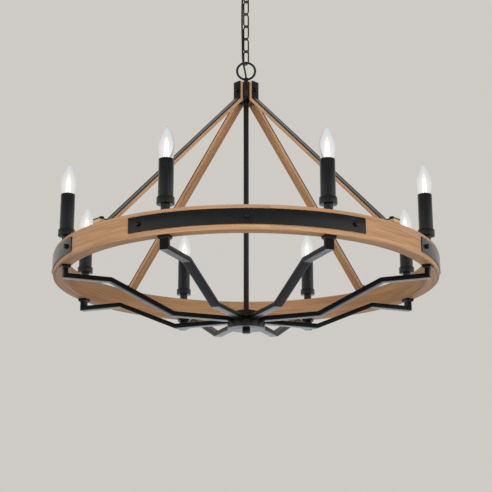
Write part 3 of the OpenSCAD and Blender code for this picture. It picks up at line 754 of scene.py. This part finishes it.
def add_cables():
    """The supply cable in seven lengths, one across each hinge of the chain.

    Each length runs from the cut above its hinge to the cut below it."""
    for i, hinge in enumerate(HINGES):
        top, low = CABLE_CUTS[i], CABLE_CUTS[i + 1]
        count = max(12, round((top - low) / 2.4))
        path = [spline_at(CABLE_ROUTE, top + (low - top) * k / count) for k in range(count + 1)]
        obj = piece(
            f"supply_cable_{i + 1}", wire(path, CABLE_R, 20), SHEATH, None,
            ["supply_cable"],
        )
        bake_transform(obj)


add_cables()


def add_ceiling():
    low, inside = CANOPY_LOW, CANOPY_LOW + CANOPY_WALL
    inner_r, flat_r = CANOPY_R - CANOPY_WALL, CANOPY_R - CANOPY_SHOULDER
    lean = CANOPY_WALL * 0.4
    outline = rounded([
        (inner_r, 0, 0.3), (CANOPY_R, 0, 0.3), (CANOPY_R, CANOPY_BEND_Z, 5), (flat_r, low, 4),
        (CANOPY_HOLE_R, low, 0.4), (CANOPY_HOLE_R, inside, 0.4), (flat_r - lean, inside, 3),
        (inner_r, CANOPY_BEND_Z + lean, 4),
    ], True, 6)
    piece("canopy_shell", lathe(outline, 128), STEEL, "canopy", ["canopy"])

    thread = []
    for turn in range(20):
        z = COLLAR_TOP - 0.6 - turn
        thread += [(COLLAR_R, z), (COLLAR_R - 0.45, z - 0.5)]
    edge = COLLAR_R - 0.5
    collar = [(COLLAR_BORE_R, COLLAR_TOP), (edge, COLLAR_TOP)] + thread + [
        (COLLAR_R, COLLAR_LOW + 1.2), (COLLAR_R, COLLAR_LOW + 0.5), (edge, COLLAR_LOW),
        (3.5, COLLAR_LOW), (3.5, CANOPY_LOW), (COLLAR_BORE_R, CANOPY_LOW)]
    eye = wire(oval(CANOPY_LOOP_R, CANOPY_LOOP_SIDE, 20), CANOPY_LOOP_WIRE_R, 20, True)
    loop = shifted(turned(eye, -45), z=CANOPY_LOOP_Z)
    piece("canopy_loop_fine", joined(lathe(collar, 64), loop), STEEL, "ceiling_mount",
          ["canopy_loop"])

    around = 192
    edge = LOCK_RING_R - 0.6
    rows = [
        (LOCK_RING_BORE_R, LOCK_RING_LOW, 0), (LOCK_RING_BORE_R, LOCK_RING_TOP, 0),
        (edge, LOCK_RING_TOP, 0), (LOCK_RING_R, LOCK_RING_TOP - 0.6, 0.75),
        (LOCK_RING_R, LOCK_RING_LOW + 0.6, 0.75), (edge, LOCK_RING_LOW, 0)]
    points = []
    for r, z, cut in rows:
        for k in range(around):
            a = TAU * k / around
            knurled = r - cut * max(0, math.cos(KNURLS * a)) ** 2
            points.append((knurled * math.cos(a), knurled * math.sin(a), z))
    faces = ring_faces(len(rows), around, True)
    piece("lock_ring_fine", (points, faces), STEEL, "lock_ring", ["canopy_lock_ring"])


def add_chain():
    link = wire(oval(LINK_R, LINK_SIDE, 18), LINK_WIRE_R, 20, True)
    # A butt weld shows as a slight swelling on one long side
    weld = wire([(LINK_R, 0, z) for z in (-1.6, -0.9, -0.3, 0.3, 0.9, 1.6)], LINK_WIRE_R, 20,
                False, [0.98, 1.06, 1.1, 1.1, 1.06, 0.98])
    for n in range(1, LINK_COUNT + 1):
        middle_z = FIRST_LINK_TOP - (n - 1) * LINK_STEP - LINK_REACH / 2
        shape = shifted(turned(joined(link, weld), 45 if n % 2 else -45), z=middle_z)
        piece(f"chain_link_{n}_fine", shape, CHAIN_STEEL, f"link_{n}", [f"chain_link_{n}"])


def add_top_hub():
    ring = [(x, 0, z) for x, z in polygon(HUB_LOOP_R, 64)]
    loop = shifted(wire(ring, HUB_LOOP_WIRE_R, 24, True), z=HUB_LOOP_Z)
    flange = COLUMN_TOP + 2.2
    nub = lathe(rounded([
        (3.25, COLUMN_TOP - 12), (5, COLUMN_TOP - 12, 0.3), (5, COLUMN_TOP),
        (7.6, COLUMN_TOP, 0.4), (7.6, flange, 0.6), (6, flange, 0.3), (6, NUB_TOP - 2.4, 1.6),
        (4.6, NUB_TOP, 0.4), (3.25, NUB_TOP),
    ], True, 4), 48)
    piece("hub_loop_fine", joined(loop, nub), STEEL, "wheel", ["hub_loop"])

    box = prism(rect(COLUMN_WIDTH, COLUMN_WIDTH, 1.6, 4), COLUMN_FOOT, COLUMN_TOP, 0.8)
    piece("hub_column_fine", turned(box, 45), STEEL, "wheel", ["hub_column"],
          sharp=50)

    nuts = [
        prism(hexagon(flats), low, low + NUT_HEIGHT, 0.5) for flats, low in (
            (17.5, COLUMN_TOP - COLUMN_WALL - NUT_HEIGHT), (19.7, COLUMN_FOOT + COLUMN_WALL),
            (19.7, HUB_TOP - COLUMN_WALL - NUT_HEIGHT))]
    collar_low = COLUMN_FOOT - 14
    collar = lathe(rounded([
        (STEM_HOLE_R, collar_low), (8, collar_low, 0.6), (8, COLUMN_FOOT),
        (STEM_HOLE_R, COLUMN_FOOT),
    ], True, 4), 48)
    piece("hex_nuts_fine", joined(*nuts, collar), STEEL, "wheel", ["hex_nuts"])

    top, low = COLUMN_FOOT + COLUMN_WALL + NUT_HEIGHT + 2, FINIAL_LOW + 4
    tube = lathe([
        (STEM_BORE_R, top), (STEM_R - 0.3, top), (STEM_R, top - 0.3), (STEM_R, low + 0.3),
        (STEM_R - 0.3, low), (STEM_BORE_R, low)], 48)
    piece("stem_fine", tube, STEEL, "wheel", ["stem"])


def add_arms():
    random.seed(41)
    strap_path = rounded([(*p, 3.5) for p in ARM_FACE], False, 4)
    strap_section = rect(ARM_STRAP, ARM_WIDTH, 0.45, 2, ARM_STRAP / 2)
    wood = path_sweep(ARM_FACE, rect(ARM_WOOD, ARM_WIDTH, 0.9, 3, ARM_STRAP + ARM_WOOD / 2))
    for n in range(1, 5):
        piece(f"wood_arm_{n}_fine", wood, OAK_ARM, "wheel", [f"wood_arm_{n}"],
              turn=arm_angle(n), board=random.uniform(0.2, 3), sharp=30)
        piece(f"arm_strap_{n}_fine", path_sweep(strap_path, strap_section), STEEL, "wheel",
              [f"arm_strap_{n}"], turn=arm_angle(n))
    head = shifted(turned(screw(18), 90, "Y"), ARM_FACE[0][0], 0, (COLUMN_TOP + COLUMN_FOOT) / 2)
    foot = shifted(screw(29), RIM_MID, 0, ARM_FOOT)
    for name, shape in (("arm_screws", head), ("foot_screws", foot)):
        shapes = [turned(shape, arm_angle(n)) for n in range(1, 5)]
        piece(f"{name}_fine", joined(*shapes), STEEL, "wheel", [name])


def add_rim():
    random.seed(7)
    wood = rounded([
        (RIM_IN, RIM_LOW, 1.1), (RIM_OUT, RIM_LOW, 1.1),
        (RIM_OUT, RIM_TOP, 1.1), (RIM_IN, RIM_TOP, 1.1),
    ], True, 3)
    low, high = STRAP_MID_Z - STRAP_HALF_HEIGHT, STRAP_MID_Z + STRAP_HALF_HEIGHT
    strap = rounded([
        (STRAP_IN, low, 0.5), (STRAP_OUT, low, 0.6), (STRAP_OUT, high, 0.6), (STRAP_IN, high, 0.5),
    ], True, 3)
    head = shifted(turned(screw(18), 90, "Y"), STRAP_OUT + 0.15, 0, STRAP_MID_Z)
    screws = []
    for n in range(1, 5):
        joint = (n - 1) * 90
        piece(f"rim_segment_{n}_fine", arc_sweep(wood, -45, 45, 1.0, 0.35), OAK_RIM, "wheel",
              [f"rim_segment_{n}"], turn=joint + RIM_JOINT_SHIFT + 45,
              board=random.uniform(0.2, 3), sharp=40)
        band = arc_sweep(strap, -STRAP_HALF_ANGLE, STRAP_HALF_ANGLE, 1.0, 0.4)
        piece(f"rim_strap_{n}_fine", band, STEEL, "wheel", [f"rim_strap_{n}"],
              turn=joint)
        screws += [turned(head, joint + side * SCREW_ANGLE) for side in (-1, 0, 1)]
    piece("strap_screws_fine", joined(*screws), STEEL, "wheel", ["strap_screws"])


def foot_plate():
    """The plate under the rim, with its lower edges bevelled."""
    points = []
    rows = ((0, 5.6), (0.4, 5), (2.6, 0.5), (3.2, 0), (7.6, 0), (8, 0.4))
    for z, less in rows:
        points += [(x, y, z) for x, y in rect(20 - less, 26.5 - less, 1.2, 3)]
    return points, ring_faces(len(rows), len(points) // len(rows))


def add_light_arms():
    bends = (0, TUBE_BEND, TUBE_BEND, 0, 0)
    line = rounded([(*p, r) for p, r in zip(TUBE_LINE, bends)], False, 4)
    tube = path_sweep(line, rect(TUBE_THICK, TUBE_WIDTH, 1.6, 4))
    shape = joined(tube, shifted(foot_plate(), RIM_MID, 0, FOOT_PLATE_LOW))
    for n in range(1, 9):
        piece(f"light_arm_{n}_fine", shape, ARM_STEEL, "wheel", [f"light_arm_{n}"],
              turn=lamp_angle(n), sharp=42)


def add_lower_hub():
    octagon = polygon(36 / math.cos(TAU / 16), 8)
    piece("lower_hub_fine", prism(octagon, HUB_LOW, HUB_TOP, 0.6), ARM_STEEL, "wheel",
          ["lower_hub"], sharp=30)
    sheet = 1.5
    cover = rounded([
        (STEM_HOLE_R, COVER_LOW, 0), (44.5, COVER_LOW, 1.8), (44.5, HUB_LOW, 0.4),
        (42, HUB_LOW, 0.4), (42, COVER_LOW + sheet, 1), (STEM_HOLE_R, COVER_LOW + sheet, 0),
    ], True, 5)
    piece("hub_cover_fine", lathe(cover, 96), STEEL, "wheel", ["hub_cover"])
    high = HUB_TOP + 15.5
    cap = rounded([
        (31, HUB_TOP, 0), (31, high, 3.5), (STEM_HOLE_R, high, 0), (STEM_HOLE_R, high - sheet, 0),
        (31 - sheet, high - sheet, 2), (31 - sheet, HUB_TOP, 0)], True, 6)
    piece("hub_dome_fine", lathe(cap, 72), STEEL, "wheel", ["hub_dome"])
    knob = rounded([
        (0, FINIAL_LOW), (9.5, FINIAL_LOW, 1.6), (9.5, COVER_LOW, 0.5), (0, COVER_LOW)], False, 6)
    piece("finial_fine", lathe(knob, 48, False), STEEL, "wheel", ["finial"])


def at_lamp(shape, n):
    return turned(shifted(shape, RIM_MID), lamp_angle(n))


def add_lamps():
    cup = lathe(rounded([
        (5.15, RIM_TOP), (10, RIM_TOP, 0.4), (10, CUP_LOW, 0.5), (19.25, CUP_LOW, 1.2),
        (19.25, CUP_TOP, 0.8), (16.45, CUP_TOP, 0.4), (16.45, SEAT_Z), (5.15, SEAT_Z),
    ], True, 4), 64)
    sleeve = lathe(rounded([
        (15.3, SEAT_Z), (16.3, SEAT_Z, 0.2), (16.3, SLEEVE_TOP, 0.4), (15.3, SLEEVE_TOP, 0.3),
    ], True, 4), 64)
    for name, shape in (("candle_cups", cup), ("candle_sleeves", sleeve)):
        shapes = [at_lamp(shape, n) for n in range(1, 9)]
        piece(f"{name}_fine", joined(*shapes), STEEL, "wheel", [name])


def glass_profile(belly, neck, low, tip):
    """A candle bulb's (radius, z) line from its neck to its tip."""
    made = []
    for k in range(12):
        a = math.radians(90 * k / 12)
        made.append((neck + (belly - neck) * math.sin(a), low + (GLASS_WIDE - low) * k / 12))
    for k in range(24):
        a = math.radians(90 * k / 24)
        made.append((belly * math.cos(a) ** 1.7, GLASS_WIDE + (tip - GLASS_WIDE) * math.sin(a)))
    return made + [(0, tip)]


def bulb_base():
    """The screw base, with its rounded thread and the contact below."""
    seat = GLASS_LOW - 3
    thread = []
    for k in range(7):
        z = seat - 2 - 2.1 * k
        thread += [(6.9, z), (6.35, z - 1.05)]
    return lathe([
        (0, GLASS_LOW - 0.2), (10.6, GLASS_LOW - 0.2), (11.5, GLASS_LOW - 0.8), (11.5, seat + 0.4),
        (11, seat), (6.9, seat - 0.4), *thread, (6.2, seat - 17), (3, seat - 19), (2.4, seat - 20),
        (0, seat - 20)], 40, False)


def filaments():
    """The glass post with its leads, four strips that lean inwards, and their tips."""
    post = lathe([
        (3, GLASS_LOW - 0.3), (2.8, GLASS_LOW + 4), (1.6, GLASS_LOW + 12), (1.3, GLASS_LOW + 15.5),
        (0, GLASS_LOW + 16)], 24, False)
    low, high = GLASS_LOW + 16, GLASS_LOW + 50
    lean = 0.6
    strips, leads, tips = [], [], []
    for k in range(4):
        a = math.radians(45 + 90 * k)
        ux, uy = math.cos(a), math.sin(a)
        x, y = 5 * ux, 5 * uy
        line = []
        for t in (i / 8 for i in range(9)):
            inwards = 1 - (1 - lean) * t
            line.append((x * inwards, y * inwards, low + (high - low) * t))
        strips.append(wire(line, 0.9, 12, False, [0.6] + [1] * 7 + [0.6]))
        leads.append(wire([
            (0.9 * ux, 0.9 * uy, GLASS_LOW + 13), (x * 0.7, y * 0.7, low - 1.2), (x, y, low + 0.2),
        ], 0.22, 8))
        tips.append(wire([line[-1], (x * 0.4, y * 0.4, high + 4), (0, 0, high + 9)], 0.8, 10))
    return joined(post, *leads), joined(*strips), joined(*tips)


def add_bulbs():
    outer = glass_profile(17.4, 11.5, GLASS_LOW, GLASS_TIP)
    inner = glass_profile(16.6, 10.7, GLASS_LOW, GLASS_TIP - 1.6)
    shell = lathe(outer + inner[::-1], 48)
    base = bulb_base()
    post, strips, tips = filaments()
    for n in range(1, 9):
        body = f"bulb_{n}"
        piece(f"{body}_glass", at_lamp(shell, n), GLASS, body, [body], sharp=60)
        piece(f"{body}_base", at_lamp(base, n), BRASS, body, ())
        piece(f"{body}_post", at_lamp(post, n), ZINC, body, ())
        for part, shape, mat in (("filaments", strips, FILAMENT), ("tips", tips, FILAMENT_TIP)):
            lit = piece(f"{body}_{part}", at_lamp(shape, n), mat, body, ())
            lit.visible_diffuse = False


add_ceiling()
add_chain()
add_top_hub()
add_arms()
add_rim()
add_light_arms()
add_lower_hub()
add_lamps()
add_bulbs()

for name, mat in (
    ("crossbar", ZINC), ("crossbar_nipple", ZINC), ("lamp_nipples", ZINC),
    ("lamp_sockets", SOCKET), ("lamp_wires", SHEATH),
):
    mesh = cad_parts[name].data
    mesh.materials.clear()
    mesh.materials.append(mat)

# ---- Floor, backdrop and lights ----

BACKDROP = (0.62, 0.60, 0.565, 1)
FLOOR_Z, FLOOR_HALF = -3.3, 30


def add_floor():
    """A matt floor, bright in mirrored views so that the paint picks up a pale room."""
    mesh = bpy.data.meshes.new("floor")
    s, z = FLOOR_HALF, FLOOR_Z
    mesh.from_pydata([(-s, -s, z), (s, -s, z), (s, s, z), (-s, s, z)], [], [(0, 1, 2, 3)])
    mat, tree = new_material("floor_plain")
    matte = node(tree, "ShaderNodeBsdfDiffuse", {"Color": (0.62, 0.60, 0.57, 1)}).outputs[0]
    place = node(tree, "ShaderNodeTexCoord").outputs["Object"]
    distance = node(tree, "ShaderNodeMapRange", {
        "Value": node(tree, "ShaderNodeSeparateXYZ", {0: place}).outputs[1],
        "From Min": 2.0, "From Max": 6.0})
    shine = mix_colour(tree, distance.outputs[0], (0.36, 0.38, 0.41, 1), (1.02, 1.06, 1.12, 1))
    bright = node(tree, "ShaderNodeEmission", {"Color": shine, "Strength": 1.0}).outputs[0]
    plain = node(tree, "ShaderNodeEmission", {"Color": BACKDROP, "Strength": 1.0}).outputs[0]
    ray = node(tree, "ShaderNodeLightPath")
    shader = mixed_shader(tree, ray.outputs["Is Transmission Ray"], matte, plain)
    shader = mixed_shader(tree, ray.outputs["Is Glossy Ray"], shader, bright)
    # Far off, the floor runs into the backdrop's colour
    away = node(tree, "ShaderNodeMapRange", {
        "Value": vector_math(tree, "LENGTH", place), "From Min": 5.0, "From Max": 20.0})
    far = math_node(tree, "MULTIPLY", away.outputs[0], ray.outputs["Is Camera Ray"])
    shader = mixed_shader(tree, far, shader, plain)
    # Seen from below it is clear, so that it hides nothing in a low view
    clear = node(tree, "ShaderNodeBsdfTransparent").outputs[0]
    below = node(tree, "ShaderNodeNewGeometry").outputs["Backfacing"]
    shader = mixed_shader(tree, below, shader, clear)
    node(tree, "ShaderNodeOutputMaterial", {"Surface": shader})
    mesh.materials.append(mat)
    obj = bpy.data.objects.new("floor", mesh)
    bpy.context.scene.collection.objects.link(obj)


def add_world():
    """The backdrop, soft light from all round, and the room that the paint mirrors."""
    world = bpy.data.worlds.new("studio")
    bpy.context.scene.world = world
    world.use_nodes = True
    tree = world.node_tree
    tree.nodes.clear()
    ray = node(tree, "ShaderNodeLightPath")
    seen = math_node(
        tree, "MAXIMUM", ray.outputs["Is Camera Ray"], ray.outputs["Is Transmission Ray"])
    place = node(tree, "ShaderNodeTexCoord").outputs["Generated"]
    x, y, z = node(tree, "ShaderNodeSeparateXYZ", {0: place}).outputs
    aside = math_node(tree, "POWER", math_node(tree, "ABSOLUTE", x), 1.5)
    walls = ramp(
        tree, math_node(tree, "MULTIPLY_ADD", x, 0.5, 0.5),
        (0.0, (0.72, 0.72, 0.73)), (1.0, (1.0, 1.0, 1.01)))
    room = mix_colour(tree, aside, (0.28, 0.285, 0.30, 1), walls)
    high = node(tree, "ShaderNodeMapRange", {"Value": z, "From Min": 0.27, "From Max": 0.4})
    room = mix_colour(tree, high.outputs[0], room, (0.16, 0.16, 0.17, 1))
    behind = node(tree, "ShaderNodeMapRange", {"Value": y, "From Min": 0.1, "From Max": 0.7})
    wall = ramp(
        tree, z, (0.42, (0.72, 0.71, 0.69)), (0.5, grey(0.14)), (0.59, grey(0.14)),
        (0.66, (0.9, 0.89, 0.87)))
    room = mix_colour(tree, behind.outputs[0], room, wall)
    below = ramp(tree, math_node(tree, "ADD", z, 0.5), (0.46, grey(1)), (0.56, grey(0)))
    room = mix_colour(tree, below, room, (0.9, 0.92, 0.95, 1))
    mirrored, ambient, back = (
        node(tree, "ShaderNodeBackground", {"Color": colour, "Strength": strength}).outputs[0]
        for colour, strength in ((room, 1.0), ((1.0, 0.985, 0.96, 1), 0.66), (BACKDROP, 1.0)))
    lighting = mixed_shader(tree, ray.outputs["Is Glossy Ray"], ambient, mirrored)
    shader = mixed_shader(tree, seen, lighting, back)
    node(tree, "ShaderNodeOutputWorld", {"Surface": shader})


def add_area(name, place, target, size, power):
    """A round soft light that isn't itself mirrored or seen through the bulbs."""
    data = bpy.data.lights.new(name, "AREA")
    data.shape = "DISK"
    data.size = size
    data.energy = power
    obj = bpy.data.objects.new(name, data)
    obj.location = place
    obj.rotation_euler = (Vector(target) - Vector(place)).to_track_quat("-Z", "Y").to_euler()
    obj.visible_glossy = False
    obj.visible_transmission = False
    bpy.context.scene.collection.objects.link(obj)


add_floor()
add_world()
add_area("key", (-1.6, -3.6, 0.9), (0, 0, -0.7), 3.4, 85)
add_area("fill", (2.4, -3.2, -1.4), (0, 0, -0.8), 3.2, 70)
add_area("back", (0.5, 3.2, 0.8), (0, 0, -0.7), 2.6, 25)

bpy.context.scene.view_settings.view_transform = "Standard"
